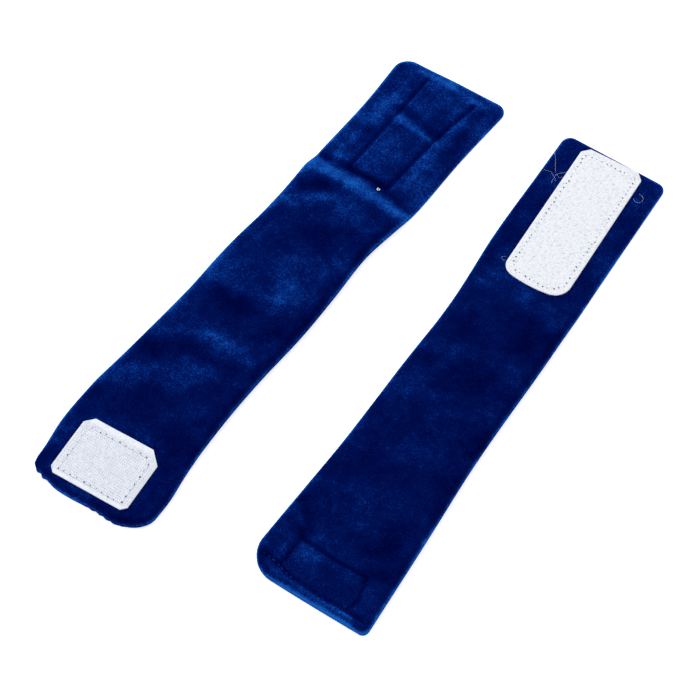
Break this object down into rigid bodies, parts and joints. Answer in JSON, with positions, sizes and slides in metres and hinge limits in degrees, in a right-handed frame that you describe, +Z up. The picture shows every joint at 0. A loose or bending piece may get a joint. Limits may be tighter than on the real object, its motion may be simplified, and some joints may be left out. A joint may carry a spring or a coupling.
{
  "type": "chair armrest pad",
  "caption": "Soft velvet armrest straps with a foam core and a thin tab, shown flat, one hook side up and one loop side up; each wraps round a chair's arm and closes with hook-and-loop tape.",
  "frame": {"origin": "centre of the pair's bounding box, on the surface that the straps lie on", "axes": "+Y along the left strap from its hook end to the tip of its tab, +Z up, +X towards the right strap"},
  "size_m": [0.1982, 0.3399, 0.0074],
  "materials": {
    "velvet": "short-pile polyester velvet, royal blue, with a soft directional sheen",
    "foam": "open-cell polyurethane foam sheet",
    "hook_tape": "white nylon tape with woven rows of small hooks",
    "loop_tape": "white nylon tape with a brushed loop pile",
    "white_thread": "spun polyester sewing thread",
    "blue_thread": "spun polyester sewing thread"
  },
  "bodies": {
    "left_hook_end": {"left_hook_side_cover_hook_end": "velvet", "left_loop_side_cover_hook_end": "velvet", "left_foam_core_hook_end": "foam", "left_hook_tape": "hook_tape", "left_hook_stitching": "white_thread", "left_closing_stitching": "blue_thread"},
    "left_pad_1": {"left_hook_side_cover_pad_1": "velvet", "left_loop_side_cover_pad_1": "velvet", "left_foam_core_pad_1": "foam"},
    "left_pad_2": {"left_hook_side_cover_pad_2": "velvet", "left_loop_side_cover_pad_2": "velvet", "left_foam_core_pad_2": "foam"},
    "left_pad_3": {"left_hook_side_cover_pad_3": "velvet", "left_loop_side_cover_pad_3": "velvet", "left_foam_core_pad_3": "foam"},
    "left_pad_4": {"left_hook_side_cover_pad_4": "velvet", "left_loop_side_cover_pad_4": "velvet", "left_foam_core_pad_4": "foam"},
    "left_tab_root": {"left_hook_side_cover_tab_root": "velvet", "left_loop_side_cover_tab_root": "velvet", "left_loop_tape_tab_root": "loop_tape", "left_loop_stitching_tab_root": "white_thread"},
    "left_tab_tip": {"left_hook_side_cover_tab_tip": "velvet", "left_loop_side_cover_tab_tip": "velvet", "left_loop_tape_tab_tip": "loop_tape", "left_loop_stitching_tab_tip": "white_thread"},
    "right_hook_end": {"right_hook_side_cover_hook_end": "velvet", "right_loop_side_cover_hook_end": "velvet", "right_foam_core_hook_end": "foam", "right_hook_tape": "hook_tape", "right_hook_stitching": "white_thread", "right_closing_stitching": "blue_thread"},
    "right_pad_1": {"right_hook_side_cover_pad_1": "velvet", "right_loop_side_cover_pad_1": "velvet", "right_foam_core_pad_1": "foam"},
    "right_pad_2": {"right_hook_side_cover_pad_2": "velvet", "right_loop_side_cover_pad_2": "velvet", "right_foam_core_pad_2": "foam"},
    "right_pad_3": {"right_hook_side_cover_pad_3": "velvet", "right_loop_side_cover_pad_3": "velvet", "right_foam_core_pad_3": "foam"},
    "right_pad_4": {"right_hook_side_cover_pad_4": "velvet", "right_loop_side_cover_pad_4": "velvet", "right_foam_core_pad_4": "foam"},
    "right_tab_root": {"right_hook_side_cover_tab_root": "velvet", "right_loop_side_cover_tab_root": "velvet", "right_loop_tape_tab_root": "loop_tape", "right_loop_stitching_tab_root": "white_thread"},
    "right_tab_tip": {"right_hook_side_cover_tab_tip": "velvet", "right_loop_side_cover_tab_tip": "velvet", "right_loop_tape_tab_tip": "loop_tape", "right_loop_stitching_tab_tip": "white_thread"}
  },
  "joints": [
    {"name": "left_hook_flap", "type": "hinge", "parent": "left_pad_1", "child": "left_hook_end", "pos_m": [-0.0641, -0.11977, 0.0059], "axis": [-1, 0, 0], "range_deg": [0, 64.2]},
    {"name": "left_bend_pad_1", "type": "hinge", "parent": "left_pad_2", "child": "left_pad_1", "pos_m": [-0.0641, -0.07577, 0.0074], "axis": [-1, 0, 0], "range_deg": [0, 57.9]},
    {"name": "left_bend_pad_2", "type": "hinge", "parent": "left_pad_3", "child": "left_pad_2", "pos_m": [-0.0641, -0.03177, 0.0074], "axis": [-1, 0, 0], "range_deg": [0, 54]},
    {"name": "left_wrap", "type": "hinge", "parent": "left_pad_3", "child": "left_pad_4", "pos_m": [-0.0641, 0.01223, 0.0074], "axis": [1, 0, 0], "range_deg": [0, 55.8]},
    {"name": "left_bend_tab_root", "type": "hinge", "parent": "left_pad_4", "child": "left_tab_root", "pos_m": [-0.0641, 0.05623, 0.0036], "axis": [1, 0, 0], "range_deg": [0, 61.9]},
    {"name": "left_bend_tab_tip", "type": "hinge", "parent": "left_tab_root", "child": "left_tab_tip", "pos_m": [-0.0641, 0.10323, 0.0036], "axis": [1, 0, 0], "range_deg": [0, 66.8]},
    {"name": "right_bend_hook_end", "type": "hinge", "parent": "right_pad_1", "child": "right_hook_end", "pos_m": [0.06091, -0.1014, 0.0074], "axis": [-0.9966, -0.0819, 0], "range_deg": [0, 63.3]},
    {"name": "right_bend_pad_1", "type": "hinge", "parent": "right_pad_2", "child": "right_pad_1", "pos_m": [0.05731, -0.05755, 0.0074], "axis": [-0.9966, -0.0819, 0], "range_deg": [0, 63.1]},
    {"name": "right_bend_pad_2", "type": "hinge", "parent": "right_pad_3", "child": "right_pad_2", "pos_m": [0.0537, -0.0137, 0.0074], "axis": [-0.9966, -0.0819, 0], "range_deg": [0, 59.9]},
    {"name": "right_wrap", "type": "hinge", "parent": "right_pad_3", "child": "right_pad_4", "pos_m": [0.05009, 0.03015, 0.0074], "axis": [0.9966, 0.0819, 0], "range_deg": [0, 57]},
    {"name": "right_tab_flap", "type": "hinge", "parent": "right_pad_4", "child": "right_tab_root", "pos_m": [0.04649, 0.07401, 0.0036], "axis": [0.9966, 0.0819, 0], "range_deg": [0, 56.9]},
    {"name": "right_bend_tab_tip", "type": "hinge", "parent": "right_tab_root", "child": "right_tab_tip", "pos_m": [0.04264, 0.12085, 0.0036], "axis": [0.9966, 0.0819, 0], "range_deg": [0, 60.3]},
    {"name": "right_lift", "type": "slide", "parent": "left_pad_3", "child": "right_pad_3", "axis": [0, 0, 1], "range_m": [0, 0.08]}
  ],
  "couplings": [
    {"joint": "left_bend_pad_1", "follows": "left_wrap", "ratio": 1.0346},
    {"joint": "left_bend_pad_2", "follows": "left_wrap", "ratio": 0.9657},
    {"joint": "left_bend_tab_root", "follows": "left_wrap", "ratio": 1.1072},
    {"joint": "left_bend_tab_tip", "follows": "left_wrap", "ratio": 1.1946},
    {"joint": "right_bend_hook_end", "follows": "right_wrap", "ratio": 1.1085},
    {"joint": "right_bend_pad_1", "follows": "right_wrap", "ratio": 1.1041},
    {"joint": "right_bend_pad_2", "follows": "right_wrap", "ratio": 1.0485},
    {"joint": "right_bend_tab_tip", "follows": "right_tab_flap", "ratio": 1.0573}
  ]
}
